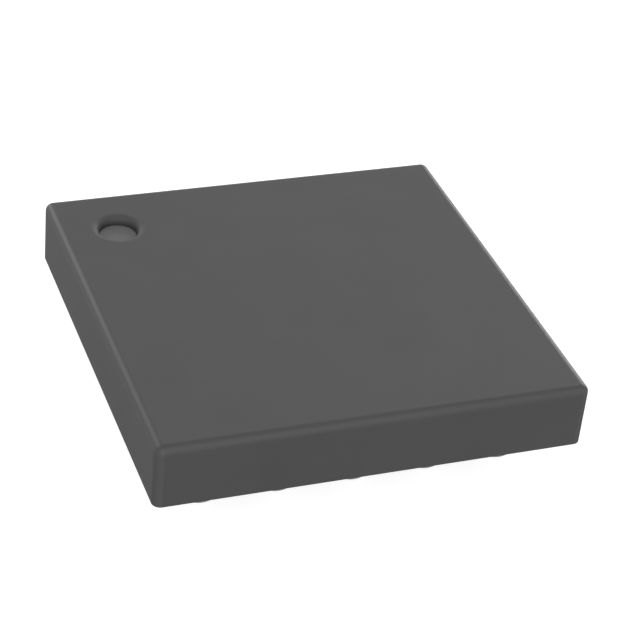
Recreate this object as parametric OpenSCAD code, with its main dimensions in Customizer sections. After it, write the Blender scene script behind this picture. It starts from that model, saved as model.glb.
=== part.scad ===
// Ball grid array chip: a moulded body over a small substrate, with a die, its bond wires
// and a square grid of solder balls. Millimetres, +Z up. The origin is the centre of the
// grid on the plane that the balls stand on, and the marked corner is at -X, +Y.

/* [Moulded body] */
// Width of the body along X
body_w = 4.5; // [4.2:0.1:8]
// Depth of the body along Y
body_d = 4.5; // [4.2:0.1:8]
// Height of the body, from its lower face to its top
body_h = 0.7; // [0.56:0.02:1.2]
// Radius of the four upright edges and of the rim of the top face
edge_r = 0.088; // [0.03:0.002:0.14]
// Thickness of the moulding outside the edges of the substrate
skirt_t = 0.1; // [0.06:0.01:0.2]

/* [Corner mark] */
// Distance from the left side of the body to the centre of the mark
mark_inset_x = 0.65; // [0.45:0.01:0.9]
// Distance from the back of the body to the centre of the mark
mark_inset_y = 0.69; // [0.45:0.01:0.9]
// Diameter of the round mark at its floor
mark_d = 0.41; // [0.2:0.01:0.6]
// Depth of the mark below the top face
mark_depth = 0.105; // [0.04:0.005:0.14]
// Radius of the mark's rounded rim
mark_rim_r = 0.085; // [0.01:0.005:0.1]

/* [Ball grid] */
// Distance from one ball to the next, both ways
ball_pitch = 0.8; // [0.66:0.01:0.96]
// Diameter of a ball, seen from below
ball_d = 0.55; // [0.4:0.01:0.66]
// Diameter of the opening in the solder mask over each pad
pad_opening_d = 0.335; // [0.25:0.005:0.38]
// How far the solder mask laps over the rim of each pad
pad_lap = 0.035; // [0.02:0.005:0.05]

/* [Substrate] */
// Thickness of the core
core_t = 0.15; // [0.1:0.01:0.2]
// Thickness of each copper layer
copper_t = 0.018; // [0.012:0.001:0.024]
// Thickness of each solder mask, measured from the core
mask_t = 0.03; // [0.026:0.001:0.04]
// Diameter of the drilled holes
via_d = 0.12; // [0.1:0.01:0.15]
// Thickness of the plating in the holes
plating_t = 0.02; // [0.01:0.002:0.03]
// Diameter of the copper land round each hole
land_d = 0.22; // [0.18:0.01:0.28]
// Width of a copper trace
trace_w = 0.06; // [0.03:0.01:0.08]
// Gap between the die paddle and the lands of the ring of holes
paddle_gap = 0.125; // [0.05:0.005:0.2]
// Gap between the lands of the ring of holes and the bond fingers
finger_gap = 0.095; // [0.06:0.005:0.15]
// Width of a bond finger
finger_w = 0.1; // [0.07:0.01:0.14]
// Length of a bond finger
finger_l = 0.28; // [0.2:0.01:0.34]
// Distance from one bond finger to the next
finger_pitch = 0.32; // [0.26:0.01:0.39]
// How far the solder mask laps over the inner end of each finger
window_lap = 0.04; // [0.02:0.01:0.06]
// Gap from the fingers to the other edges of their window in the mask
window_gap = 0.07; // [0.03:0.01:0.1]

/* [Die] */
// Width of the die along X
die_w = 1.8; // [1.5:0.05:2.2]
// Depth of the die along Y
die_d = 1.8; // [1.5:0.05:2.2]
// Thickness of the die
die_t = 0.15; // [0.1:0.01:0.18]
// Thickness of the die attach
attach_t = 0.025; // [0.01:0.005:0.04]
// How far the die attach reaches out past the die
attach_lap = 0.03; // [0:0.01:0.05]
// Side of a square bond pad
bond_pad_w = 0.07; // [0.06:0.005:0.1]
// Thickness of a bond pad
bond_pad_t = 0.005; // [0.003:0.001:0.01]
// Distance from one bond pad to the next
bond_pad_pitch = 0.24; // [0.15:0.01:0.29]
// Distance from the edge of the die to the centres of its bond pads
bond_pad_inset = 0.07; // [0.05:0.01:0.12]

/* [Bond wires] */
// Diameter of a wire
wire_d = 0.025; // [0.018:0.001:0.03]
// Height of the loop above the die
loop_h = 0.1; // [0.06:0.01:0.12]
// Diameter of the ball bond
bond_d = 0.058; // [0.04:0.002:0.06]
// Height of the ball bond
bond_h = 0.014; // [0.008:0.002:0.02]
// Length of the flattened stitch
stitch_l = 0.05; // [0.03:0.01:0.08]
// Width of the stitch at its end
stitch_w = 0.04; // [0.03:0.005:0.05]
// Thickness of the stitch at its end
stitch_t = 0.008; // [0.004:0.001:0.012]

/* [Hidden] */
$fn = 64;

rows = ["a", "b", "c", "d", "e"];
columns = ["1", "2", "3", "4", "5"];
sides = ["n", "e", "s", "w"];
wires_per_side = 6;

function ball_name(row, column) = str("ball_", rows[row], columns[column]);
function wire_name(side, i) = str("bond_wire_", sides[side], i + 1);

// Heights of the stack, from the plane that the balls stand on
ball_r = ball_d / 2;
standoff = ball_r + sqrt(ball_r * ball_r - pad_opening_d * pad_opening_d / 4);
core_low_z = standoff + mask_t;
pad_face_z = core_low_z - copper_t;
core_top_z = core_low_z + core_t;
finger_face_z = core_top_z + copper_t;
mask_top_z = core_top_z + mask_t;
die_low_z = mask_top_z + attach_t;
die_top_z = die_low_z + die_t;
bond_face_z = die_top_z + bond_pad_t;
body_top_z = standoff + body_h;

substrate_w = body_w - 2 * skirt_t;
substrate_d = body_d - 2 * skirt_t;
pad_d = pad_opening_d + 2 * pad_lap;

// The ring of holes runs midway between the outer two rings of balls
ring_r = 1.5 * ball_pitch;
finger_start = ring_r + land_d / 2 + finger_gap;
paddle_w = 2 * (ring_r - land_d / 2 - paddle_gap);

// A side is laid out facing +Y and turned to its place. Its six holes stand half a pitch
// apart from the ring's corner, and its six balls are the ones that the holes lead to.
function centred(i, pitch) = (i - (wires_per_side - 1) / 2) * pitch;
function via_at(i) = [-ring_r + i * ball_pitch / 2, ring_r];
ball_steps = [[-2, 2], [-1, 2], [-1, 1], [0, 2], [0, 1], [1, 2]];
ground_vias = [for (x = [-1, 1], y = [-1, 1]) [x, y] * ball_pitch / 2];

// A cut runs past the face that it opens by this much
past = 0.05;

module each_side() {
    for (side = [0:3]) {
        rotate(-90 * side) children();
    }
}

module at_vias() {
    each_side() {
        for (i = [0:wires_per_side - 1]) {
            translate(via_at(i)) children();
        }
    }
    for (place = ground_vias) {
        translate(place) children();
    }
}

module at_balls() {
    for (x = [-2:2], y = [-2:2]) {
        translate([x, y] * ball_pitch) children();
    }
}

module trace(from, to) {
    run = to - from;
    translate(from) rotate(atan2(run[1], run[0])) translate([0, -trace_w / 2]) square([norm(run), trace_w]);
}

module layer(low_z, high_z) {
    translate([0, 0, low_z]) linear_extrude(high_z - low_z) children();
}

// Upright section through the rim of the body, from where its rounding starts out to the face
module rim_section() {
    difference() {
        square([edge_r, body_h]);
        translate([0, body_h - edge_r]) difference() {
            square(edge_r + past);
            circle(edge_r);
        }
    }
}

// The block is a plain core, four straight rims and four corners turned from the same section
module block() {
    inner_w = body_w - 2 * edge_r;
    inner_d = body_d - 2 * edge_r;
    translate([-inner_w / 2, -inner_d / 2, 0]) cube([inner_w, inner_d, body_h]);
    for (side = [0:3]) {
        length = side % 2 == 0 ? inner_w : inner_d;
        reach = side % 2 == 0 ? inner_d : inner_w;
        rotate(-90 * side) {
            translate([-length / 2, reach / 2, 0])
                rotate([90, 0, 90]) linear_extrude(length) rim_section();
            translate([length / 2, reach / 2, 0]) rotate_extrude(angle = 90) rim_section();
        }
    }
}

// The mark is a shallow blind hole whose rim is rounded outwards into the top
module mark_cut() {
    rim = min(mark_rim_r, mark_depth);
    translate([mark_inset_x - body_w / 2, body_d / 2 - mark_inset_y, body_top_z]) rotate_extrude() {
        translate([0, -mark_depth]) square([mark_d / 2, mark_depth + past]);
        difference() {
            translate([0, -rim]) square([mark_d / 2 + rim, rim + past]);
            translate([mark_d / 2 + rim, -rim]) circle(rim);
        }
    }
}

module windows() {
    width = 2 * centred(wires_per_side - 1, finger_pitch) + finger_w + 2 * window_gap;
    each_side() {
        translate([-width / 2, finger_start + window_lap])
            square([width, finger_l - window_lap + window_gap]);
    }
}

// Copper of the top layer with its drilled holes still closed
module top_pattern() {
    square(paddle_w, center = true);
    each_side() {
        for (i = [0:wires_per_side - 1]) {
            finger_x = centred(i, finger_pitch);
            translate(via_at(i)) circle(d = land_d);
            trace([finger_x, finger_start + trace_w / 2], via_at(i));
            translate([finger_x, finger_start + trace_w / 2]) circle(d = trace_w);
            translate([finger_x - finger_w / 2, finger_start]) square([finger_w, finger_l]);
        }
    }
}

// Copper of the bottom layer with its drilled holes still closed
module bottom_pattern() {
    at_balls() circle(d = pad_d);
    at_vias() circle(d = land_d);
    for (place = ground_vias) {
        trace([0, 0], place);
    }
    each_side() {
        for (i = [0:wires_per_side - 1]) {
            trace(ball_steps[i] * ball_pitch, via_at(i));
        }
    }
}

module substrate_block() {
    square([substrate_w, substrate_d], center = true);
}

module mold_body() {
    color("#343436") difference() {
        translate([0, 0, standoff]) block();
        layer(standoff - past, core_top_z) substrate_block();
        layer(core_top_z, mask_top_z) difference() {
            substrate_block();
            windows();
        }
        layer(core_top_z, finger_face_z) top_pattern();
        die_attach();
        die();
        bond_pads();
        for (side = [0:3], i = [0:wires_per_side - 1]) {
            bond_wire(side, i);
        }
        mark_cut();
    }
}

module top_solder_mask() {
    color("#1f5a3a") difference() {
        layer(core_top_z, mask_top_z) difference() {
            substrate_block();
            windows();
        }
        layer(core_top_z - past, finger_face_z) top_pattern();
    }
}

module top_copper() {
    color("#b87333") layer(core_top_z, finger_face_z) difference() {
        top_pattern();
        at_vias() circle(d = via_d);
    }
}

module substrate_core() {
    color("#8a7a4a") layer(core_low_z, core_top_z) difference() {
        substrate_block();
        at_vias() circle(d = via_d);
    }
}

module via_barrels() {
    color("#c07c3c") layer(pad_face_z, finger_face_z) at_vias() difference() {
        circle(d = via_d);
        circle(d = via_d - 2 * plating_t);
    }
}

module via_plugs() {
    color("#d8d2b8") layer(pad_face_z, finger_face_z) at_vias() circle(d = via_d - 2 * plating_t);
}

module bottom_copper() {
    color("#b87333") layer(pad_face_z, core_low_z) difference() {
        bottom_pattern();
        at_vias() circle(d = via_d);
    }
}

module bottom_solder_mask() {
    color("#1f5a3a") difference() {
        layer(standoff, core_low_z) difference() {
            substrate_block();
            at_balls() circle(d = pad_opening_d);
        }
        layer(pad_face_z, core_low_z + past) bottom_pattern();
    }
}

module die_attach() {
    color("#a8a8a0") layer(mask_top_z, die_low_z)
        square([die_w + 2 * attach_lap, die_d + 2 * attach_lap], center = true);
}

module die() {
    color("#6c7078") layer(die_low_z, die_top_z) square([die_w, die_d], center = true);
}

module bond_pads() {
    color("#c8ccd0") layer(die_top_z, bond_face_z) {
        for (side = [0:3], i = [0:wires_per_side - 1]) {
            rotate(-90 * side) translate(bond_at(side, i)) square(bond_pad_w, center = true);
        }
    }
}

// Centre of a bond pad, and of the end of its wire on the finger, on a side that faces +Y
function bond_at(side, i) = [
    centred(i, bond_pad_pitch),
    (side % 2 == 0 ? die_d : die_w) / 2 - bond_pad_inset
];
function stitch_at(i) = [
    centred(i, finger_pitch),
    finger_start + window_lap + (finger_l - window_lap) / 2
];

// Cubic curve through its two end points, pulled towards the two between them
function curve(p, t) =
    pow(1 - t, 3) * p[0] + 3 * pow(1 - t, 2) * t * p[1] + 3 * (1 - t) * t * t * p[2] + pow(t, 3) * p[3];

// A wire's rings, each as how far it is along the wire, its height, the slope of its axis,
// half its width and half its thickness. The loop rises straight off its ball bond, bends
// over and comes down flat on the finger, where the stitch is pressed thin.
function wire_rings(span) =
    let (
        r = wire_d / 2,
        neck_z = bond_face_z + bond_h + r,
        // A cubic curve whose second point is this high peaks near the height of the loop
        pull_z = die_top_z + 2 * loop_h - wire_d,
        land_z = finger_face_z + r,
        bend = [[0, neck_z], [0, pull_z], [span * 0.4, pull_z - loop_h / 2], [span - stitch_l, land_z]],
        steps = 7,
        slope = function (t) let (run = curve(bend, min(t + 0.01, 1)) - curve(bend, max(t - 0.01, 0)))
            atan2(run[1], run[0])
    )
    concat(
        [
            [0, bond_face_z, 90, bond_d / 2, bond_d / 2],
            [0, bond_face_z + bond_h, 90, bond_d / 2, bond_d / 2]
        ],
        [for (i = [0:steps - 1]) let (t = i / steps, p = curve(bend, t)) [p[0], p[1], slope(t), r, r]],
        [
            [span - stitch_l, land_z, 0, r, r],
            [span, finger_face_z + stitch_t / 2, 0, stitch_w / 2, stitch_t / 2]
        ]
    );

// One swept solid with eight sides, their flats on the stated half width and half thickness
module wire_solid(rings) {
    sides_round = 8;
    last = len(rings) - 1;
    points = [
        for (ring = rings, j = [0:sides_round - 1])
            let (
                a = (j + 0.5) * 360 / sides_round,
                across = ring[3] * cos(a) / cos(180 / sides_round),
                over = ring[4] * sin(a) / cos(180 / sides_round)
            )
            [ring[0] - over * sin(ring[2]), across, ring[1] + over * cos(ring[2])]
    ];
    walls = [
        for (k = [0:last - 1], j = [0:sides_round - 1])
            let (
                a = k * sides_round + j,
                b = k * sides_round + (j + 1) % sides_round
            )
            each [[a, a + sides_round, b], [b, a + sides_round, b + sides_round]]
    ];
    ends = [
        [for (j = [0:sides_round - 1]) j],
        [for (j = [sides_round - 1:-1:0]) last * sides_round + j]
    ];
    polyhedron(points, concat(walls, ends));
}

module bond_wire(side, i) {
    from = bond_at(side, i);
    run = stitch_at(i) - from;
    color("#e0b040") rotate(-90 * side) translate(from) rotate(atan2(run[1], run[0]))
        wire_solid(wire_rings(norm(run)));
}

// A ball meets the mask in the rim of its opening and fills the opening up to the pad
module ball(row, column) {
    color("#b4b8bc") translate([(column - 2) * ball_pitch, (2 - row) * ball_pitch, 0]) rotate_extrude() {
        intersection() {
            translate([0, ball_r]) circle(ball_r);
            square([ball_r, standoff]);
        }
        translate([0, standoff]) square([pad_opening_d / 2, pad_face_z - standoff]);
    }
}

mold_body();
top_solder_mask();
top_copper();
substrate_core();
via_barrels();
via_plugs();
bottom_copper();
bottom_solder_mask();
die_attach();
die();
bond_pads();
for (side = [0:3], i = [0:wires_per_side - 1])
    bond_wire(side, i);
for (row = [0:4], column = [0:4])
    ball(row, column);
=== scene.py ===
import bmesh
import bpy
import numpy as np
from mathutils import Matrix, Vector


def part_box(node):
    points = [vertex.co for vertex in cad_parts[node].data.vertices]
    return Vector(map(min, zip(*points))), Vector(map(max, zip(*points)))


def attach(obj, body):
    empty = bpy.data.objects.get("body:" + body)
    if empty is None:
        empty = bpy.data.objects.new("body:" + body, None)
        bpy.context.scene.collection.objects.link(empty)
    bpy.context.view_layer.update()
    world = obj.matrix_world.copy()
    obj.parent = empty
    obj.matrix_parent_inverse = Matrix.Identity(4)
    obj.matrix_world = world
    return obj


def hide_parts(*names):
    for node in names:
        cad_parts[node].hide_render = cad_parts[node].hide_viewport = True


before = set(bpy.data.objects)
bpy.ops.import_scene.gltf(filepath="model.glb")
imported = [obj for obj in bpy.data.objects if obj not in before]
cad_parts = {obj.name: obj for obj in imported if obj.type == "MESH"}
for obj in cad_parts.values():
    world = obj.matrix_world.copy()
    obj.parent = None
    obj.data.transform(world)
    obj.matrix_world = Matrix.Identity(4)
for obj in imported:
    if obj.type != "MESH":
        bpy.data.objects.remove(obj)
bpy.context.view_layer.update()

mm = 0.001
tiny = 1e-6  # mm or share, less than any step between two rows
cadGap = 1e-4  # mm, less than any step in the CAD meshes
moldLow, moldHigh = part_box("mold_body")
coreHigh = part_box("substrate_core")[1]
maskLow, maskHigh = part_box("bottom_solder_mask")
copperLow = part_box("bottom_copper")[0]
ballPitch = round((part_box("ball_c4")[0].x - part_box("ball_c3")[0].x) / mm, 3)
ballPlaces = np.stack(np.meshgrid(np.arange(-2, 3), np.arange(-2, 3)), -1).reshape(-1, 2) * ballPitch
quarterTurns = [np.linalg.matrix_power([[0, 1], [-1, 0]], k) for k in range(4)]  # for rows of x and y


# Colours, nodes and meshes
def linearColor(hexCode):
    # sRGB hex to linear: c / 12.92 below 0.04045, else ((c + 0.055) / 1.055) ^ 2.4
    srgb = np.array([int(hexCode[i:i + 2], 16) for i in (1, 3, 5)]) / 255
    linear = np.where(srgb < 0.04045, srgb / 12.92, ((srgb + 0.055) / 1.055) ** 2.4)
    return (*linear.tolist(), 1)


def fillSockets(tree, node, sockets):
    # A socket is filled with a link where its value is another node's output, else with the value.
    # A Mix node has its two colours in sockets 6 and 7, and the mixed one in output 2
    for name, value in sockets.items():
        if isinstance(value, bpy.types.NodeSocket):
            tree.links.new(value, node.inputs[name])
        else:
            node.inputs[name].default_value = value


def addNode(tree, kind, sockets=None, **settings):
    node = tree.nodes.new(kind)
    for key, value in settings.items():
        setattr(node, key, value)
    fillSockets(tree, node, sockets or {})
    return node


def newMaterial(name):
    # A material with its shader and output, and Object coordinates turned to millimetres
    material = bpy.data.materials.new(name)
    material.use_nodes = True
    tree = material.node_tree
    tree.nodes.clear()
    shader = addNode(tree, "ShaderNodeBsdfPrincipled")
    addNode(tree, "ShaderNodeOutputMaterial", {"Surface": shader.outputs["BSDF"]})
    place = addNode(tree, "ShaderNodeTexCoord").outputs["Object"]
    place = addNode(tree, "ShaderNodeMapping", {"Vector": place, "Scale": (1 / mm,) * 3}).outputs["Vector"]
    return material, tree, place, shader


def gridFaces(rows, columns, start=0):
    # Quads of a grid whose last column joins the first; they face out where its rows stack upwards
    row, column = np.meshgrid(np.arange(rows - 1), np.arange(columns), indexing="ij")
    here = start + row * columns + column
    beside = start + row * columns + (column + 1) % columns
    return np.stack([here, beside, beside + columns, here + columns], -1).reshape(-1, 4)


def bridgeFaces(points, inner, outer, centre):
    # Triangles between two flat loops about one centre: sorted by angle, each step along one loop
    # makes a triangle with the last point that the other loop has passed
    def byAngle(loop):
        offset = points[loop, :2] - centre
        angle = np.arctan2(offset[:, 1], offset[:, 0])
        order = np.argsort(angle)
        return loop[order], angle[order]

    a, angleA = byAngle(inner)
    b, angleB = byAngle(outer)
    passedB = np.searchsorted(angleB, angleA, side="right") - 1
    passedA = np.searchsorted(angleA, angleB, side="left") - 1
    alongA = np.stack([np.roll(a, 1), b[passedB], a], -1)
    alongB = np.stack([np.roll(b, 1), b, a[passedA]], -1)
    return np.concatenate([alongA, alongB])


def meshPiece(name, points, faces, values=None, smooth=True, mergeGap=1e-8):
    # One closed mesh in metres, its doubled points merged and its faces smooth, or those that smooth
    # says; values are kept on its points as attributes
    mesh = bpy.data.meshes.new(name)
    mesh.from_pydata(points.tolist(), [], faces)
    mesh.polygons.foreach_set("use_smooth", np.broadcast_to(smooth, len(faces)).astype(bool))
    for attribute, value in (values or {}).items():
        mesh.attributes.new(attribute, "FLOAT", "POINT").data.foreach_set("value", value.astype(np.float32))
    working = bmesh.new()
    working.from_mesh(mesh)
    bmesh.ops.remove_doubles(working, verts=working.verts, dist=mergeGap)
    working.to_mesh(mesh)
    working.free()
    piece = bpy.data.objects.new(name, mesh)
    bpy.context.scene.collection.objects.link(piece)
    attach(piece, "root")
    return piece


# Camera, at the photograph's viewing angle
cameraLook = {
    "azimuth": -22.894,  # degrees from the front, below zero to the left
    "elevation": 34.425,
    "roll": 6.139,
    "distance": 22.52,  # mm from the middle of the moulding's lower face
    "right": 0.208,  # mm that the camera stands to its own right, and above
    "above": 0.2613,
    "lens": 119.36,  # mm
    "sensor": 36,  # mm wide
    "clip": (1, 1000),  # mm, nearest and farthest that it sees
}


def toward(azimuth, elevation):
    # Unit vector to a camera or lamp = (sin a cos e, -cos a cos e, sin e)
    a, e = np.radians([azimuth, elevation])
    return np.array([np.sin(a) * np.cos(e), -np.cos(a) * np.cos(e), np.sin(e)])


def addCamera(look):
    back = toward(look["azimuth"], look["elevation"])
    azimuth, roll = np.radians([look["azimuth"], look["roll"]])
    level = np.array([np.cos(azimuth), np.sin(azimuth), 0])
    upright = np.cross(back, level)
    right = np.cos(roll) * level + np.sin(roll) * upright
    above = np.cos(roll) * upright - np.sin(roll) * level
    place = (back * look["distance"] + right * look["right"] + above * look["above"]) * mm
    data = bpy.data.cameras.new("camera")
    data.lens = look["lens"]
    data.sensor_width = look["sensor"]
    data.clip_start, data.clip_end = [reach * mm for reach in look["clip"]]
    camera = bpy.data.objects.new("camera", data)
    turned = Matrix(np.stack([right, above, back], -1).tolist()).to_4x4()
    camera.matrix_world = Matrix.Translation(Vector(place) + Vector((0, 0, moldLow.z))) @ turned
    bpy.context.scene.collection.objects.link(camera)
    bpy.context.scene.camera = camera


addCamera(cameraLook)
print("camera placed")


# Moulded body: a skin round the cavity that the inner pieces fill
moldShape = {
    "edgeRadius": 0.088,  # mm, upright edges and the rim of the top
    "lowEdge": 0.003,  # the crisp lower edge, with just enough radius to catch light
    "cornerSteps": 24,  # steps round each upright edge and each rim
    "lowSteps": 4,  # steps round the lower edge
    "wallRows": 8,
    "sideSteps": 40,  # columns along each side
    "supportGap": 0.01,  # width of the flat strips that keep the roundings true
    "markFromLeft": 0.65,  # to the middle of the mark
    "markFromBack": 0.69,
    "markRadius": 0.205,
    "markDepth": 0.105,
    "markRim": 0.085,
    "markCorner": 0.003,  # hollow corner round the mark's floor
    "hollowSteps": 6,  # steps round that corner
    "floorStrip": 0.004,  # flat strip inside it
    "floorRings": 6,
    "markSteps": 160,  # columns round the mark
    "markRubbedWithPaintedShade": 0.35,  # how far its rim is rubbed and carries painted shade, 1 as the body's rim, 0 not at all
    "ceilingGap": 0.01,  # what lies below the mark's floor by more than this is the cavity
}


def moldColumns(shape):
    # Each column is a corner sign and a facing: along a side the sign slides from -1 to 1,
    # and round an upright edge it rests while the facing turns by a quarter
    slide = np.linspace(-1, 1, shape["sideSteps"] + 1)
    bend = np.linspace(0, np.pi / 2, shape["cornerSteps"] + 1)[1:-1]
    sign = np.concatenate([np.stack([np.ones_like(slide), slide], -1), np.ones((len(bend), 2))])
    facing = np.concatenate([
        np.tile([1.0, 0.0], (len(slide), 1)), np.stack([np.cos(bend), np.sin(bend)], -1)
    ])
    return [np.concatenate([column @ turn for turn in quarterTurns]) for column in (sign, facing)]


def moldPath(shape, skirt, low, high):
    # Section of the skin as inset and height: lower face, crisp edge, wall, quarter-round rim, top
    radius, edge, gap = shape["edgeRadius"], shape["lowEdge"], shape["supportGap"]
    under = np.linspace(0, np.pi / 2, shape["lowSteps"] + 1)
    over = np.linspace(0, np.pi / 2, shape["cornerSteps"] + 1)
    wall = np.linspace(low + edge + gap, high - radius - gap, shape["wallRows"])
    inset = np.concatenate([
        [skirt, edge + gap], edge * (1 - np.sin(under)), wall * 0,
        radius * (1 - np.cos(over)), [radius + gap]
    ])
    height = np.concatenate([
        [low, low], low + edge * (1 - np.cos(under)), wall, high - radius + radius * np.sin(over), [high]
    ])
    return inset, height


def moldSkin(shape, half, skirt, low, high):
    # Point = sign * (half - c) + facing * (c - inset), where c is the larger of radius and inset
    sign, facing = moldColumns(shape)
    inset, height = moldPath(shape, skirt, low, high)
    centre = np.maximum(shape["edgeRadius"], inset)
    flat = (
        sign[None] * (half[None, None] - centre[:, None, None])
        + facing[None] * (centre - inset)[:, None, None]
    )
    tall = np.broadcast_to(height[:, None, None], (*flat.shape[:2], 1))
    points = np.concatenate([flat, tall], -1)
    # Rubbed, with painted shade, on the rim, by how far it has risen out of the wall, and not on
    # the flat top. Scuffed, with painted light, where the facing is not along an axis, by what is left of 1
    risen = np.clip(1 + (height - high) / shape["edgeRadius"], 0, 1)
    rubbedWithPaintedShade = np.repeat(risen * (height < high - tiny), len(sign))
    turned = np.abs(facing).min(1) > tiny
    scuffedWithPaintedLight = ((1 - risen)[:, None] * turned[None]).ravel()
    return points.reshape(-1, 3), rubbedWithPaintedShade, scuffedWithPaintedLight, len(height), len(sign)


def markProfile(shape, high):
    # Radius and height from the top inwards: flat strip, round rim, wall, hollow corner, floor
    radius, rim, corner = shape["markRadius"], shape["markRim"], shape["markCorner"]
    floor = high - shape["markDepth"]
    over = np.linspace(np.pi / 2, 0, shape["cornerSteps"] + 1)
    hollow = np.linspace(np.pi / 2, 0, shape["hollowSteps"] + 1)
    inwards = np.linspace(radius - corner - shape["floorStrip"], 0, shape["floorRings"])
    across = np.concatenate([
        [radius + rim + shape["supportGap"]], radius + rim * (1 - np.cos(over)),
        radius - corner + corner * np.sin(hollow), inwards
    ])
    height = np.concatenate([
        [high], high - rim + rim * np.sin(over), floor + corner * (1 - np.cos(hollow)), floor + inwards * 0
    ])
    return across, height


def revolve(across, height, centre, steps):
    # Point = centre + across * (cos, sin) of the turn, at the profile's height
    turn = np.arange(steps) * 2 * np.pi / steps
    circle = np.stack([np.cos(turn), np.sin(turn)], -1)
    flat = centre + across[:, None, None] * circle[None]
    tall = np.broadcast_to(height[:, None, None], (*flat.shape[:2], 1))
    return np.concatenate([flat, tall], -1).reshape(-1, 3)


def cavityFaces(node, halfInner, low, ceiling):
    # The moulding's inner faces: those of the CAD node that lie wholly inside the lower opening
    mesh = node.data
    points = np.empty(len(mesh.vertices) * 3, np.float32)
    mesh.vertices.foreach_get("co", points)
    points = points.reshape(-1, 3).astype(float) / mm
    mesh.calc_loop_triangles()
    corners = np.empty(len(mesh.loop_triangles) * 3, np.int32)
    mesh.loop_triangles.foreach_get("vertices", corners)
    corners = corners.reshape(-1, 3)
    at = points[corners]
    inside = (np.abs(at[..., :2]) <= halfInner + cadGap).all((1, 2))
    inside &= (at[..., 2].max(1) > low + cadGap) & (at[..., 2].max(1) < ceiling)
    used, corners = np.unique(corners[inside], return_inverse=True)
    return points[used], corners.reshape(-1, 3)


def moldBody(shape):
    # The skin, the mark and the cavity in one list of points, with the flat rings between them bridged
    half = np.array([moldHigh.x, moldHigh.y]) / mm
    halfInner = np.array([coreHigh.x, coreHigh.y]) / mm
    low, high = moldLow.z / mm, moldHigh.z / mm
    skin, rubbedWithPaintedShade, scuffedWithPaintedLight, rows, columns = moldSkin(shape, half, (half - halfInner)[0], low, high)
    markCentre = np.array([shape["markFromLeft"] - half[0], half[1] - shape["markFromBack"]])
    across, height = markProfile(shape, high)
    mark = revolve(across, height, markCentre, shape["markSteps"])
    # The mark's floor, which carries painted light
    floored = height < high - shape["markDepth"] + tiny
    walled = (height < high - tiny) & ~floored
    # Painted shade: the mark's wall darkens towards its foot, by the square root of the depth
    paintedRecessShade = np.sqrt(np.clip((high - height) / shape["markDepth"], 0, 1)) * walled
    walled, floored, paintedRecessShade = [
        np.repeat(value, shape["markSteps"]) for value in (walled, floored, paintedRecessShade)]
    ceiling = high - shape["markDepth"] - shape["ceilingGap"]
    cavity, cavityCorners = cavityFaces(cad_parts["mold_body"], halfInner, low, ceiling)
    points = np.concatenate([skin, mark, cavity])
    noSkin, noMark, noCavity = [np.zeros(len(block)) for block in (skin, mark, cavity)]
    # Painted shade on the rubbed rims and down the mark's wall, painted light on the scuffed edges and the
    # mark's floor
    places = {
        "scuffedWithPaintedLight": np.concatenate([scuffedWithPaintedLight, noMark, noCavity]),
        "rubbedWithPaintedShade": np.concatenate([rubbedWithPaintedShade, walled * shape["markRubbedWithPaintedShade"], noCavity]),
        "paintedRecessShade": np.concatenate([noSkin, paintedRecessShade, noCavity]),
        "pressed": np.concatenate([noSkin, floored, noCavity])
    }
    markStart, cavityStart = len(skin), len(skin) + len(mark)

    topLoop = np.arange((rows - 1) * columns, rows * columns)
    rimLoop = np.arange(markStart, markStart + shape["markSteps"])
    # Each corner of the cavity's lower opening once
    lip = cavityStart + np.flatnonzero(np.abs(cavity[:, 2] - low) < cadGap)
    lip = lip[np.unique(np.round(points[lip], 4), axis=0, return_index=True)[1]]
    edgeLoop = np.arange(columns, 2 * columns)
    faces = [
        gridFaces(rows - 1, columns, columns),
        gridFaces(len(height), shape["markSteps"], markStart),
        bridgeFaces(points, rimLoop, topLoop, markCentre),
        bridgeFaces(points, lip, edgeLoop, np.zeros(2))[:, ::-1],
        cavityStart + cavityCorners
    ]
    # All but the cavity is shaded smooth
    smooth = np.repeat([True, True, True, True, False], [len(block) for block in faces])
    faces = [face for block in faces for face in block.tolist()]
    return meshPiece("moulded_body", points * mm, faces, places, smooth)


moldPiece = moldBody(moldShape)
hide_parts("mold_body")
print("moulded body made,", len(moldPiece.data.polygons), "faces")


# Solder balls: each a sphere that meets the mask in the rim of its opening and fills it to the pad
ballShape = {
    "radius": 0.275,  # mm
    "steps": 64,  # columns round a ball
    "rings": 36,  # from its foot to the mask
    "lastStep": 0.02,  # radians, from the last full ring up to the mask
}


def ballProfile(shape, standoff, padFace):
    # A circle from its lowest point to the height of the mask, then the short neck and its flat end
    radius = shape["radius"]
    meet = np.arcsin((standoff - radius) / radius)
    rise = np.append(np.linspace(-np.pi / 2, meet - shape["lastStep"], shape["rings"]), meet)
    neck = radius * np.cos(meet)
    across = np.concatenate([radius * np.cos(rise), [neck, 0]])
    height = np.concatenate([radius + radius * np.sin(rise), [padFace, padFace]])
    return across, height, neck


def solderBall(shape, row, column):
    # Rows a to e run from the back to the front, columns 1 to 5 from left to right
    node = "ball_" + "abcde"[row] + "12345"[column]
    centre = np.array([column - 2, 2 - row]) * ballPitch
    across, height, _ = ballProfile(shape, moldLow.z / mm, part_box(node)[1].z / mm)
    points = revolve(across, height, centre, shape["steps"])
    piece = meshPiece("solder_" + node, points * mm, gridFaces(len(height), shape["steps"]).tolist())
    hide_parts(node)
    return piece


ballPieces = [solderBall(ballShape, row, column) for row in range(5) for column in range(5)]
print("solder balls made,", len(ballPieces))


# Lower solder mask: it lies a little higher between the copper pads, lands and traces than over them
maskShape = {
    "padRadius": 0.2025,  # mm, copper under the mask round each ball
    "landRadius": 0.11,
    "traceHalf": 0.03,
    "sink": 0.009,  # how far the mask sinks between the copper
    "softEdge": 0.03,  # width of its slope at the edge of the copper
    "sideSteps": 24,  # spokes to each side of the square round a ball
    "rings": 16,
}


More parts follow.
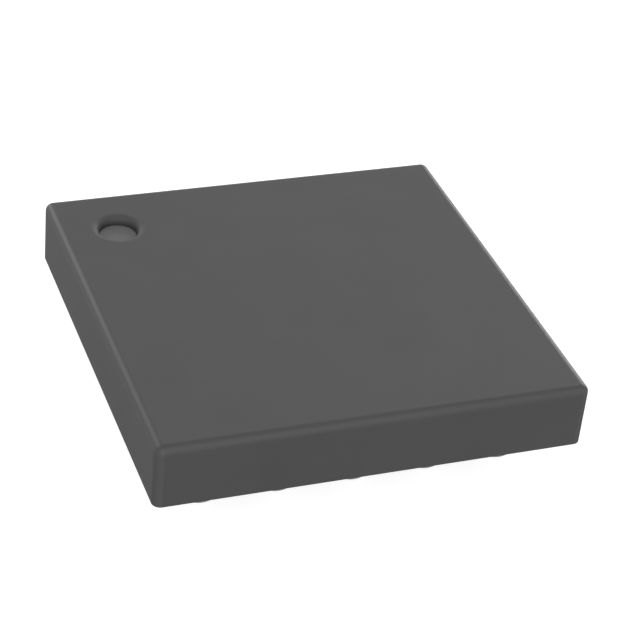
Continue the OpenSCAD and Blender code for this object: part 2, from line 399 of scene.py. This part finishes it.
def copperLayout():
    # Centres of the drilled lands and the start of the trace to each, counted in pitches and then
    # scaled. One side of the ring is turned to four
    ring = np.stack([np.arange(6) / 2 - 1.5, np.full(6, 1.5)], -1)
    ballSteps = np.array([[-2, 2], [-1, 2], [-1, 1], [0, 2], [0, 1], [1, 2]])
    inner = np.array([[-0.5, -0.5], [-0.5, 0.5], [0.5, -0.5], [0.5, 0.5]])
    lands = np.concatenate([ring @ turn for turn in quarterTurns] + [inner])
    starts = np.concatenate([ballSteps @ turn for turn in quarterTurns] + [inner * 0])
    return lands * ballPitch, starts * ballPitch


def copperDistance(shape, at):
    # Distance from each point to the nearest copper edge, below zero inside it
    lands, starts = copperLayout()

    def toSegments(a, b):
        run = b - a
        along = ((at[..., None, :] - a) * run).sum(-1) / np.maximum((run ** 2).sum(-1), tiny ** 2)
        nearest = a + np.clip(along, 0, 1)[..., None] * run
        return np.linalg.norm(at[..., None, :] - nearest, axis=-1).min(-1)

    return np.minimum.reduce([
        toSegments(ballPlaces, ballPlaces) - shape["padRadius"],
        toSegments(lands, lands) - shape["landRadius"],
        toSegments(starts, lands) - shape["traceHalf"]
    ])


def smoothStep(value):
    # v^2 (3 - 2 v), for v held between 0 and 1
    value = np.clip(value, 0, 1)
    return value * value * (3 - 2 * value)


def maskCells(shape, halfWidth, opening):
    # Point = centre + (1 - v) * opening * u + v * (edge point - centre): spokes from the round
    # opening to the square that surrounds it, where u points from the centre at the edge point
    lines = np.concatenate([[-halfWidth], (np.arange(4) - 1.5) * ballPitch, [halfWidth]])
    low = np.stack(np.meshgrid(lines[:-1], lines[:-1]), -1).reshape(-1, 1, 2)
    high = np.stack(np.meshgrid(lines[1:], lines[1:]), -1).reshape(-1, 1, 2)
    centre = ballPlaces[:, None]
    t = np.arange(shape["sideSteps"])[:, None] / shape["sideSteps"]
    one, nil = np.ones_like(t), np.zeros_like(t)
    share = np.concatenate([
        np.hstack([one, t]), np.hstack([1 - t, one]), np.hstack([nil, 1 - t]), np.hstack([t, nil])
    ])
    edge = low + share * (high - low)
    reach = edge - centre
    unit = reach / np.linalg.norm(reach, axis=-1, keepdims=True)
    v = np.linspace(0, 1, shape["rings"])[:, None, None]
    return centre[:, None] + (1 - v) * opening * unit[:, None] + v * reach[:, None]


def lowerMask(shape):
    # Each cell is one grid: in along the lower face, up the wall of the opening, out along the top
    half = maskHigh.x / mm
    _, _, opening = ballProfile(ballShape, moldLow.z / mm, maskHigh.z / mm)
    flat = maskCells(shape, half, opening)
    distance = copperDistance(shape, flat)
    cover = 1 - smoothStep(distance / shape["softEdge"])
    lower = maskLow.z / mm + shape["sink"] * (1 - cover)
    upper = np.where(distance < 0, copperLow.z / mm, maskHigh.z / mm)
    points = np.concatenate([
        np.concatenate([flat, lower[..., None]], -1)[:, ::-1], np.concatenate([flat, upper[..., None]], -1)
    ], 1)
    cover = np.concatenate([cover[:, ::-1], cover], 1)

    cells, rows, spokes = points.shape[:3]
    cellStart = np.arange(cells) * rows * spokes
    faces = (cellStart[:, None, None] + gridFaces(rows, spokes)[:, ::-1]).reshape(-1, 4)
    # Quads from each cell's first row to its last close the four outer edges of the sheet
    edge = np.abs(flat[:, -1]) > half - tiny
    cell, spoke = np.nonzero((edge & np.roll(edge, -1, 1)).any(-1))
    here = cellStart[cell] + spoke
    beside = cellStart[cell] + (spoke + 1) % spokes
    top = (rows - 1) * spokes
    rim = np.stack([here, beside, beside + top, here + top], -1)
    faces = np.concatenate([faces, rim]).tolist()
    return meshPiece(
        "lower_solder_mask", points.reshape(-1, 3) * mm, faces, {"copperCover": cover.ravel()})


maskPiece = lowerMask(maskShape)
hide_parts("bottom_solder_mask")
print("lower solder mask made,", len(maskPiece.data.polygons), "faces")


# Bond wires: each rises from a squashed ball on its die pad, bends over and comes down flat on its finger,
# where its end is pressed wide and thin
wireShape = {
    "radius": 0.0125,  # mm
    "columns": 14,
    "bendSteps": 22,  # rings of the loop, of its eased end and of the stitch
    "easeSteps": 6,
    "stitchSteps": 7,
    "padInset": 0.07,  # from the die's edge to the middle of the ball bond
    "padPitch": 0.24,
    "fingerPitch": 0.32,
    "fingerReach": 1.565,  # from the middle of the chip to the end of the wire
    "ballRadius": 0.029,
    "ballHeight": 0.014,
    "ballRings": 5,
    "ballSpan": 0.9,  # share of a round side that the squashed side takes up
    "ballBulge": 0.3,  # how far that side bulges, 0 straight and 1 round
    "neckWidth": 1.3,  # in wire widths, and its height in ball heights
    "neckHeight": 1.35,
    "loopHeight": 0.1,  # above the die
    "loopPull": 0.4,  # share of the way at which the loop is pulled over
    "loopEnd": 0.92,  # share of the cubic before its last corner is eased
    "stitchLength": 0.05,
    "stitchEase": 0.2,  # share of the stitch that the eased corner takes up
    "stitchHalfWidth": 0.02,
    "stitchHalfThickness": 0.004,
}


def wireRings(shape, span, padFace, dieFace, fingerFace):
    # Rings as distance along, height, slope, half width and half thickness. The loop is the cubic
    # (1-t)^3 a + 3 (1-t)^2 t b + 3 (1-t) t^2 c + t^3 d, its last corner is eased by a quadratic, and
    # the stitch thins as a smooth step while its underside stays on the finger
    r, reach = shape["radius"], shape["ballSpan"]
    squash = np.linspace(-reach, reach, shape["ballRings"])
    ballWidth = shape["ballRadius"] * np.sqrt(1 - shape["ballBulge"] * squash ** 2)
    ballWidth = np.concatenate([[0], ballWidth, [r * shape["neckWidth"]]])
    ballRise = np.concatenate([[0], (squash + reach) / (2 * reach), [shape["neckHeight"]]])
    ballZ = padFace + shape["ballHeight"] * ballRise
    ballBond = np.stack([ballWidth * 0, ballZ, ballWidth * 0 + np.pi / 2, ballWidth, ballWidth], -1)

    pullZ = dieFace + 2 * shape["loopHeight"] - 2 * r
    foot = np.array([span - shape["stitchLength"], fingerFace + r])
    pulls = np.array([
        [0, padFace + shape["ballHeight"] + r], [0, pullZ],
        [span * shape["loopPull"], pullZ - shape["loopHeight"] / 2], foot
    ])
    t = np.linspace(0, shape["loopEnd"], shape["bendSteps"])[:, None]
    weights = np.hstack([(1 - t) ** 3, 3 * (1 - t) ** 2 * t, 3 * (1 - t) * t ** 2, t ** 3])
    slopes = np.hstack([-(1 - t) ** 2, (1 - t) ** 2 - 2 * (1 - t) * t, 2 * (1 - t) * t - t ** 2, t ** 2])
    loop, heading = weights @ pulls, slopes @ pulls
    easeRun = np.array([shape["stitchEase"] * shape["stitchLength"], 0])
    u = np.linspace(0, 1, shape["easeSteps"] + 1)[1:, None]
    ease = (1 - u) ** 2 * loop[-1] + 2 * u * (1 - u) * foot + u ** 2 * (foot + easeRun)
    easeHeading = (1 - u) * (foot - loop[-1]) + u * easeRun
    path, heading = np.concatenate([loop, ease]), np.concatenate([heading, easeHeading])
    slope = np.arctan2(heading[:, 1], heading[:, 0])
    bend = np.column_stack([path, slope, np.full((len(path), 2), r)])

    share = np.linspace(0, 1, shape["stitchSteps"] + 1)[1:]
    press = smoothStep(share)
    along = foot[0] + easeRun[0] + (shape["stitchLength"] - easeRun[0]) * share
    halfThick = r + (shape["stitchHalfThickness"] - r) * press
    halfWide = r + (shape["stitchHalfWidth"] - r) * press
    stitch = np.column_stack([along, fingerFace + halfThick, press * 0, halfWide, halfThick])
    close = stitch[-1:] * [1, 1, 1, 0, 0]
    return np.concatenate([ballBond, bend, stitch, close])


def bondWire(shape, side, i):
    # Point = pad + (along - over sin(slope)) * run + across * beside, over cos(slope) above the axis,
    # where across and over are the ring's half width and half thickness times cos and sin of the turn.
    # Sides 0 to 3 are back, right, front and left
    fromMiddle = i - 2.5  # the six wires of a side are counted from 0
    padFace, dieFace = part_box("bond_pads")[1].z / mm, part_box("die")[1].z / mm
    halfDie = (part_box("die")[1].y if side % 2 == 0 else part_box("die")[1].x) / mm
    pad = np.array([fromMiddle * shape["padPitch"], halfDie - shape["padInset"]])
    run = np.array([fromMiddle * shape["fingerPitch"], shape["fingerReach"]]) - pad
    span = np.linalg.norm(run)
    run = run / span
    beside = np.array([-run[1], run[0]])
    rings = wireRings(shape, span, padFace, dieFace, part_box("top_copper")[1].z / mm)
    along, height, slope, halfWide, halfThick = rings.T[..., None]
    turn = np.arange(shape["columns"]) * 2 * np.pi / shape["columns"]
    across, over = halfWide * np.cos(turn), halfThick * np.sin(turn)
    flat = pad + (along - over * np.sin(slope))[..., None] * run + across[..., None] * beside
    flat = flat @ quarterTurns[-side]
    points = np.concatenate([flat, (height + over * np.cos(slope))[..., None]], -1).reshape(-1, 3)
    node = "bond_wire_" + "nesw"[side] + str(i + 1)
    piece = meshPiece("gold_" + node, points * mm, gridFaces(len(rings), shape["columns"]).tolist())
    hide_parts(node)
    return piece


wirePieces = [bondWire(wireShape, side, i) for side in range(4) for i in range(6)]
print("bond wires made,", len(wirePieces))


# Epoxy moulding compound, transfer moulded against a spark-eroded cavity: dark grey and matte, with a
# fine even tooth. The rim of the top is polished by handling, and painted shade darkens it towards the top.
# The upright edges are duller from the tray's pocket, and painted light makes them paler. The floor of the
# mark was pressed by a polished pin, which leaves it smoother, and painted light makes it paler. Painted
# shade darkens the mark's wall towards its foot
moldFinish = {
    "pale": "#4C4C4C",
    "dark": "#484848",
    # Painted light: the upright edges, paler
    "scuffedWithPaintedLight": "#565656",
    # Painted shade: the rim of the top, darker towards the top
    "rubbedWithPaintedShade": "#3F3F3F",
    # Painted shade: the mark's wall, darker towards its foot
    "paintedRecessShade": "#353535",
    # Painted light: the mark's floor, paler as well as smoother
    "pressed": "#6D6D6D",
    "roughness": (0.67, 0.73),  # lowest and highest, over the tooth
    "scuffedWithPaintedLightRoughness": 0.95,
    "rubbedWithPaintedShadeRoughness": 0.49,
    "paintedRecessShadeRoughness": 0.62,
    "pressedRoughness": 0.55,
    "polishedFrom": 0.3,  # share of each mark at which the roughness has changed in full
    "toothSize": 0.03,  # mm; the real tooth is about 0.01, too fine to show here
    "toothDepth": 0.0006,
    "toothShare": 0.5,  # how much of it is added to the clouds
    "cloudSize": 0.7,  # filler-rich and resin-rich areas
    "blendRange": (0.45, 1.05),  # sums of tooth and clouds that give the dark and the pale grey
    "ior": 1.4,
}


def moldMaterial(look):
    material, tree, place, shader = newMaterial("matte_moulding_compound")
    tooth = addNode(tree, "ShaderNodeTexNoise", {
        "Vector": place, "Scale": 1 / look["toothSize"], "Detail": 3, "Roughness": 0.6
    }).outputs["Fac"]
    cloud = addNode(tree, "ShaderNodeTexNoise", {
        "Vector": place, "Scale": 1 / look["cloudSize"], "Detail": 2
    }).outputs["Fac"]
    blend = addNode(tree, "ShaderNodeMath", {
        0: tooth, 1: look["toothShare"], 2: cloud
    }, operation="MULTIPLY_ADD").outputs[0]
    blend = addNode(tree, "ShaderNodeMapRange", {
        "Value": blend, "From Min": look["blendRange"][0], "From Max": look["blendRange"][1]
    }).outputs["Result"]
    color = addNode(tree, "ShaderNodeMix", {
        "Factor": blend, 6: linearColor(look["dark"]), 7: linearColor(look["pale"])
    }, data_type="RGBA").outputs[2]
    roughness = addNode(tree, "ShaderNodeMapRange", {
        "Value": tooth, "To Min": look["roughness"][0], "To Max": look["roughness"][1]
    }).outputs["Result"]
    # Painted light on the scuffed edges and the pressed floor, painted shade on the rubbed rims and the
    # recessed wall; each also sets its own roughness
    for part in ("scuffedWithPaintedLight", "rubbedWithPaintedShade", "paintedRecessShade", "pressed"):
        cover = addNode(tree, "ShaderNodeAttribute", attribute_name=part).outputs["Fac"]
        color = addNode(tree, "ShaderNodeMix", {
            "Factor": cover, 6: color, 7: linearColor(look[part])
        }, data_type="RGBA").outputs[2]
        polish = addNode(tree, "ShaderNodeMapRange", {
            "Value": cover, "From Max": look["polishedFrom"]
        }).outputs["Result"]
        roughness = addNode(tree, "ShaderNodeMix", {
            "Factor": polish, "A": roughness, "B": look[part + "Roughness"]
        }).outputs["Result"]
    bump = addNode(tree, "ShaderNodeBump", {"Height": tooth, "Distance": look["toothDepth"] * mm})
    fillSockets(tree, shader, {
        "Base Color": color, "Roughness": roughness, "IOR": look["ior"], "Normal": bump.outputs["Normal"]
    })
    return material


moldPiece.data.materials.append(moldMaterial(moldFinish))


# Tin, silver and copper solder, melted and set to a ball: grey metal, dulled by a thin oxide, with the
# frosted skin that its fine crystals leave
solderFinish = {
    "pale": "#8E9094",
    "dark": "#7A7C80",
    "roughness": (0.3, 0.48),  # lowest and highest, over the grain
    "grainSize": 0.035,  # mm
    "grainDepth": 0.0008,
}


def solderMaterial(look):
    material, tree, place, shader = newMaterial("reflowed_solder")
    grain = addNode(tree, "ShaderNodeTexVoronoi", {
        "Vector": place, "Scale": 1 / look["grainSize"]
    }, feature="SMOOTH_F1").outputs["Distance"]
    frost = addNode(tree, "ShaderNodeTexNoise", {
        "Vector": place, "Scale": 2 / look["grainSize"], "Detail": 4
    }).outputs["Fac"]
    height = addNode(tree, "ShaderNodeMath", {0: grain, 1: frost}, operation="ADD").outputs[0]
    color = addNode(tree, "ShaderNodeMix", {
        "Factor": frost, 6: linearColor(look["dark"]), 7: linearColor(look["pale"])
    }, data_type="RGBA").outputs[2]
    roughness = addNode(tree, "ShaderNodeMapRange", {
        "Value": grain, "To Min": look["roughness"][0], "To Max": look["roughness"][1]
    }).outputs["Result"]
    bump = addNode(tree, "ShaderNodeBump", {"Height": height, "Distance": look["grainDepth"] * mm})
    fillSockets(tree, shader, {
        "Base Color": color, "Metallic": 1, "Roughness": roughness, "Normal": bump.outputs["Normal"]
    })
    return material


solder = solderMaterial(solderFinish)
for piece in ballPieces:
    piece.data.materials.append(solder)


# Photo-imaged solder mask: glossy green film, paler where it covers copper
maskFinish = {
    "overCopper": "#3E7B4C",
    "overLaminate": "#1C4A30",
    "roughness": 0.28,
    "weaveSize": 0.12,  # mm, glass threads that print through the film
    "weaveTint": 0.15,  # how far they shift it to the paler green
    "rippleDepth": 0.0006,
    "ior": 1.52,
}


def maskMaterial(look):
    material, tree, place, shader = newMaterial("green_solder_mask")
    cover = addNode(tree, "ShaderNodeAttribute", attribute_name="copperCover").outputs["Fac"]
    ripple = addNode(tree, "ShaderNodeTexNoise", {
        "Vector": place, "Scale": 1 / look["weaveSize"], "Detail": 2
    }).outputs["Fac"]
    tint = addNode(tree, "ShaderNodeMath", {
        0: ripple, 1: look["weaveTint"], 2: cover
    }, operation="MULTIPLY_ADD").outputs[0]
    color = addNode(tree, "ShaderNodeMix", {
        "Factor": tint, 6: linearColor(look["overLaminate"]), 7: linearColor(look["overCopper"])
    }, data_type="RGBA").outputs[2]
    bump = addNode(tree, "ShaderNodeBump", {"Height": ripple, "Distance": look["rippleDepth"] * mm})
    fillSockets(tree, shader, {
        "Base Color": color, "Roughness": look["roughness"], "IOR": look["ior"],
        "Normal": bump.outputs["Normal"]
    })
    return material


greenMask = maskMaterial(maskFinish)
maskPiece.data.materials.append(greenMask)


def wear(material, node):
    # A kept CAD node takes the material in its object's slots
    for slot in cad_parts[node].material_slots:
        slot.material = material


wear(greenMask, "top_solder_mask")


# Copper foil, etched to its pattern and roughened so that the mask grips: pink metal with a fine matte
# grain. The open ends of the bond fingers are plated with nickel and soft gold
copperFinish = {
    "pale": "#D08E66",
    "dark": "#B06F4A",
    "gold": "#E9C572",
    "roughness": (0.32, 0.52),  # lowest and highest, over the grain
    "grainSize": 0.012,  # mm
    "grainDepth": 0.0005,
    "goldFrom": 1.445,  # from the middle to the edge of the windows in the upper mask
}


def farFromMiddle(tree, axes, reach):
    # 1 where the larger of |x| and |y| is past the reach, else 0
    far = [addNode(tree, "ShaderNodeMath", {0: axes[k]}, operation="ABSOLUTE").outputs[0] for k in (0, 1)]
    far = addNode(tree, "ShaderNodeMath", {0: far[0], 1: far[1]}, operation="MAXIMUM").outputs[0]
    return addNode(tree, "ShaderNodeMath", {0: far, 1: reach}, operation="GREATER_THAN").outputs[0]


def grainedMetal(look, name):
    material, tree, place, shader = newMaterial(name)
    grain = addNode(tree, "ShaderNodeTexNoise", {
        "Vector": place, "Scale": 1 / look["grainSize"], "Detail": 4
    }).outputs["Fac"]
    color = addNode(tree, "ShaderNodeMix", {
        "Factor": grain, 6: linearColor(look["dark"]), 7: linearColor(look["pale"])
    }, data_type="RGBA").outputs[2]
    roughness = addNode(tree, "ShaderNodeMapRange", {
        "Value": grain, "To Min": look["roughness"][0], "To Max": look["roughness"][1]
    }).outputs["Result"]
    if "goldFrom" in look:
        axes = addNode(tree, "ShaderNodeSeparateXYZ", {0: place}).outputs
        plated = farFromMiddle(tree, axes, look["goldFrom"])
        color = addNode(tree, "ShaderNodeMix", {
            "Factor": plated, 6: color, 7: linearColor(look["gold"])
        }, data_type="RGBA").outputs[2]
    bump = addNode(tree, "ShaderNodeBump", {"Height": grain, "Distance": look["grainDepth"] * mm})
    fillSockets(tree, shader, {
        "Base Color": color, "Metallic": 1, "Roughness": roughness, "Normal": bump.outputs["Normal"]
    })
    return material


# Copper built up in a plating bath: brighter and smoother than foil, with small nodules
platedFinish = {
    "pale": "#DDA07A",
    "dark": "#C08060",
    "roughness": (0.2, 0.4),
    "grainSize": 0.02,  # mm
    "grainDepth": 0.001,
}

wear(grainedMetal(copperFinish, "etched_copper_gold_fingers"), "top_copper")
# The lower copper has no gold
bottomFinish = {key: value for key, value in copperFinish.items() if key != "goldFrom"}
wear(grainedMetal(bottomFinish, "etched_copper"), "bottom_copper")
wear(grainedMetal(platedFinish, "plated_copper"), "via_barrels")


# Glass cloth pressed in resin: honey brown, with the threads of its plain weave showing through as a
# check of paler and darker squares
laminateFinish = {
    "thread": "#A59669",
    "resin": "#7E7045",
    "roughness": 0.4,
    "threadPitch": 0.2,  # mm from one thread to the next
    "threadDepth": 0.003,
    "ior": 1.55,
}


def laminateMaterial(look):
    # Height = sin^2 of a quarter turn a thread along x where the warp is on top, along y elsewhere
    material, tree, place, shader = newMaterial("woven_glass_laminate")
    turns = addNode(tree, "ShaderNodeVectorMath", {
        0: place, 1: (np.pi / look["threadPitch"],) * 3
    }, operation="MULTIPLY").outputs[0]
    waves = addNode(tree, "ShaderNodeVectorMath", {0: turns}, operation="SINE").outputs[0]
    axes = addNode(tree, "ShaderNodeSeparateXYZ", {0: waves}).outputs
    check = addNode(tree, "ShaderNodeMath", {0: axes[0], 1: axes[1]}, operation="MULTIPLY").outputs[0]
    warpOnTop = addNode(tree, "ShaderNodeMath", {0: check, 1: 0}, operation="GREATER_THAN").outputs[0]
    crowns = [
        addNode(tree, "ShaderNodeMath", {0: axes[k]}, operation="ABSOLUTE").outputs[0] for k in (0, 1)
    ]
    crown = addNode(tree, "ShaderNodeMix", {
        "Factor": warpOnTop, "A": crowns[0], "B": crowns[1]
    }).outputs["Result"]
    color = addNode(tree, "ShaderNodeMix", {
        "Factor": crown, 6: linearColor(look["resin"]), 7: linearColor(look["thread"])
    }, data_type="RGBA").outputs[2]
    bump = addNode(tree, "ShaderNodeBump", {"Height": crown, "Distance": look["threadDepth"] * mm})
    fillSockets(tree, shader, {
        "Base Color": color, "Roughness": look["roughness"], "IOR": look["ior"],
        "Normal": bump.outputs["Normal"]
    })
    return material


wear(laminateMaterial(laminateFinish), "substrate_core")


# Filled resins that were poured or printed and then cured: the plugs of the holes are a chalky cream,
# the adhesive under the die is grey with silver flakes in it
plugFinish = {
    "name": "cured_plugging_resin",
    "body": "#D2CBB0",
    "flake": "#E2DCC6",
    "flakeSize": 0.008,  # mm
    "flakeDepth": 0.0008,
    "flakeRange": (0.45, 0.8),  # lean of a flake at which it starts and stops to brighten
    "shine": 0,
    "roughness": (0.43, 0.67),
}
attachFinish = {
    "name": "silver_filled_adhesive",
    "body": "#8D8D89",
    "flake": "#D4D4D0",
    "flakeSize": 0.012,  # mm
    "flakeDepth": 0.0012,
    "flakeRange": (0.45, 0.8),
    "shine": 0.7,  # how metallic the brightest flakes are
    "roughness": (0.3, 0.54),
}


def filledResinMaterial(look):
    material, tree, place, shader = newMaterial(look["name"])
    cells = addNode(tree, "ShaderNodeTexVoronoi", {"Vector": place, "Scale": 1 / look["flakeSize"]}).outputs
    lean = addNode(tree, "ShaderNodeSeparateXYZ", {0: cells["Color"]}).outputs
    flake = addNode(tree, "ShaderNodeMapRange", {
        "Value": lean[0], "From Min": look["flakeRange"][0], "From Max": look["flakeRange"][1]
    }).outputs["Result"]
    color = addNode(tree, "ShaderNodeMix", {
        "Factor": flake, 6: linearColor(look["body"]), 7: linearColor(look["flake"])
    }, data_type="RGBA").outputs[2]
    metallic = addNode(tree, "ShaderNodeMath", {
        0: flake, 1: look["shine"]
    }, operation="MULTIPLY").outputs[0]
    roughness = addNode(tree, "ShaderNodeMapRange", {
        "Value": lean[1], "To Min": look["roughness"][0], "To Max": look["roughness"][1]
    }).outputs["Result"]
    bump = addNode(tree, "ShaderNodeBump", {
        "Height": cells["Distance"], "Distance": look["flakeDepth"] * mm
    })
    fillSockets(tree, shader, {
        "Base Color": color, "Metallic": metallic, "Roughness": roughness, "Normal": bump.outputs["Normal"]
    })
    return material


wear(filledResinMaterial(plugFinish), "via_plugs")
wear(filledResinMaterial(attachFinish), "die_attach")


# Silicon: its sides are sawn and grey, and its top is a dark mirror under clear oxide, tinted block by
# block where the circuits below differ, with a plain border that holds the bond pads
siliconFinish = {
    "sawn": "#6E7178",
    "border": "#5A5C66",
    "blockDark": "#3F465C",
    "blockPale": "#757084",
    "street": "#8B8A86",
    "sawnRoughness": 0.45,
    "topRoughness": 0.16,
    "blockSize": (0.5, 0.27, 0.008),  # mm, width, height and street between blocks
    "cellSize": (0.06, 0.02, 0.003),  # rows of cells in a block; real ones are too fine to show
    "cellShare": 0.3,
    "borderFrom": 0.765,  # from the middle to the border
    "topDepth": 0.001,  # how far down the sides the mirror reaches
    "sawPitch": 0.01,
    "sawDepth": 0.001,
}


def siliconMaterial(look, topFace):
    material, tree, place, shader = newMaterial("polished_silicon")
    # Offset and squash make the blocks of neighbouring rows differ
    blocks, cells = [
        addNode(tree, "ShaderNodeTexBrick", {
            "Vector": place, "Scale": 1, "Brick Width": width, "Row Height": height,
            "Mortar Size": street / 2,
            "Color1": linearColor(look["blockDark"]), "Color2": linearColor(look["blockPale"]),
            "Mortar": linearColor(look["street"])
        }, offset=0.37, offset_frequency=3, squash=0.55, squash_frequency=2).outputs["Color"]
        for width, height, street in (look["blockSize"], look["cellSize"])
    ]
    blocks = addNode(tree, "ShaderNodeMix", {
        "Factor": look["cellShare"], 6: blocks, 7: cells
    }, data_type="RGBA").outputs[2]
    axes = addNode(tree, "ShaderNodeSeparateXYZ", {0: place}).outputs
    inBorder = farFromMiddle(tree, axes, look["borderFrom"])
    blocks = addNode(tree, "ShaderNodeMix", {
        "Factor": inBorder, 6: blocks, 7: linearColor(look["border"])
    }, data_type="RGBA").outputs[2]
    isTop = addNode(tree, "ShaderNodeMath", {
        0: axes[2], 1: topFace - look["topDepth"]
    }, operation="GREATER_THAN").outputs[0]
    color = addNode(tree, "ShaderNodeMix", {
        "Factor": isTop, 6: linearColor(look["sawn"]), 7: blocks
    }, data_type="RGBA").outputs[2]
    roughness = addNode(tree, "ShaderNodeMix", {
        "Factor": isTop, "A": look["sawnRoughness"], "B": look["topRoughness"]
    }).outputs["Result"]
    lines = addNode(tree, "ShaderNodeTexNoise", {
        "Vector": addNode(tree, "ShaderNodeMapping", {
            "Vector": place, "Scale": (1, 1, 1 / look["sawPitch"])
        }).outputs["Vector"], "Scale": 1, "Detail": 3
    }).outputs["Fac"]
    sawn = addNode(tree, "ShaderNodeMath", {0: 1, 1: isTop}, operation="SUBTRACT").outputs[0]
    bump = addNode(tree, "ShaderNodeBump", {
        "Height": lines, "Strength": sawn, "Distance": look["sawDepth"] * mm
    })
    fillSockets(tree, shader, {
        "Base Color": color, "Metallic": 1, "Roughness": roughness, "Normal": bump.outputs["Normal"]
    })
    return material


wear(siliconMaterial(siliconFinish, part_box("die")[1].z / mm), "die")


# Thin bright metals: sputtered aluminium for the bond pads, drawn gold for the wires
aluminiumFinish = {
    "pale": "#D6D8DA",
    "dark": "#BFC2C5",
    "roughness": (0.24, 0.44),
    "grainSize": 0.006,  # mm
    "grainDepth": 0.0002,
}
goldFinish = {
    "pale": "#F3CF7E",
    "dark": "#E0B45C",
    "roughness": (0.14, 0.34),
    "grainSize": 0.015,  # mm
    "grainDepth": 0.0002,
}
wear(grainedMetal(aluminiumFinish, "sputtered_aluminium"), "bond_pads")
drawnGold = grainedMetal(goldFinish, "drawn_gold_wire")
for piece in wirePieces:
    piece.data.materials.append(drawnGold)
print("materials given to the pieces and the kept nodes")


# Floor, background and lights
stageLook = {
    "floorWidth": 400,  # mm
    "floorGlow": 0.84,  # added to the lit floor for the eye, so that it is white outside the shadow
    "glossGlow": 0.5,  # the same for reflections, which see the floor a little below 1
    "floorGrey": 0.5,
    "ambient": 0.2,
    "lights": {
        # name: azimuth from the front, below zero to the left, elevation, strength and width of the
        # disc, angles in degrees; a strength of 1 alone renders a white face square to it as white
        "key": (-14, 39, 0.7, 90),
        "backLeft": (-161, 18, 0.27, 26),
        "backRight": (131, 16, 0.35, 30),
    },
}


def seenDirectly(tree, toEye, inGloss):
    # One value for rays from the camera, one for those that gloss or glass sends on, 0 for plain light
    path = addNode(tree, "ShaderNodeLightPath").outputs
    sentOn = addNode(tree, "ShaderNodeMath", {
        0: path["Is Glossy Ray"], 1: path["Is Transmission Ray"]
    }, operation="MAXIMUM").outputs[0]
    sentOn = addNode(tree, "ShaderNodeMath", {0: sentOn, 1: inGloss}, operation="MULTIPLY").outputs[0]
    return addNode(tree, "ShaderNodeMath", {
        0: path["Is Camera Ray"], 1: toEye, 2: sentOn
    }, operation="MULTIPLY_ADD").outputs[0]


def addFloor(look):
    # A matte grey card that glows to the eye, so that only the chip's shadow shows on it
    half = look["floorWidth"] / 2 * mm
    mesh = bpy.data.meshes.new("floor")
    corners = [(-half, -half, 0), (half, -half, 0), (half, half, 0), (-half, half, 0)]
    mesh.from_pydata(corners, [], [(0, 1, 2, 3)])
    floor = bpy.data.objects.new("floor", mesh)
    bpy.context.scene.collection.objects.link(floor)
    material = bpy.data.materials.new("pale_floor")
    material.use_nodes = True
    tree = material.node_tree
    tree.nodes.clear()
    grey = (*(look["floorGrey"],) * 3, 1)
    paint = addNode(tree, "ShaderNodeBsdfDiffuse", {"Color": grey}).outputs["BSDF"]
    glow = seenDirectly(tree, look["floorGlow"], look["glossGlow"])
    light = addNode(tree, "ShaderNodeEmission", {"Strength": glow}).outputs["Emission"]
    both = addNode(tree, "ShaderNodeAddShader", {0: paint, 1: light}).outputs["Shader"]
    addNode(tree, "ShaderNodeOutputMaterial", {"Surface": both})
    mesh.materials.append(material)


def addSun(name, azimuth, elevation, strength, spread):
    data = bpy.data.lights.new(name, "SUN")
    data.energy = strength * np.pi
    data.angle = np.radians(spread)
    light = bpy.data.objects.new(name, data)
    light.rotation_euler = Vector(toward(azimuth, elevation)).to_track_quat("Z", "Y").to_euler()
    bpy.context.scene.collection.objects.link(light)


def addWorld(look):
    # White where it is seen, and the weak ambient light everywhere else
    world = bpy.data.worlds.new("studio")
    world.use_nodes = True
    tree = world.node_tree
    tree.nodes.clear()
    plain, white = [
        addNode(tree, "ShaderNodeBackground", {
            "Color": (1, 1, 1, 1), "Strength": strength
        }).outputs["Background"]
        for strength in (look["ambient"], 1)
    ]
    mixed = addNode(tree, "ShaderNodeMixShader", {0: seenDirectly(tree, 1, 1), 1: plain, 2: white})
    addNode(tree, "ShaderNodeOutputWorld", {"Surface": mixed.outputs["Shader"]})
    bpy.context.scene.world = world


addFloor(stageLook)
addWorld(stageLook)
for name, settings in stageLook["lights"].items():
    addSun(name, *settings)
bpy.context.scene.view_settings.view_transform = "Standard"
print("floor, background and lights set")
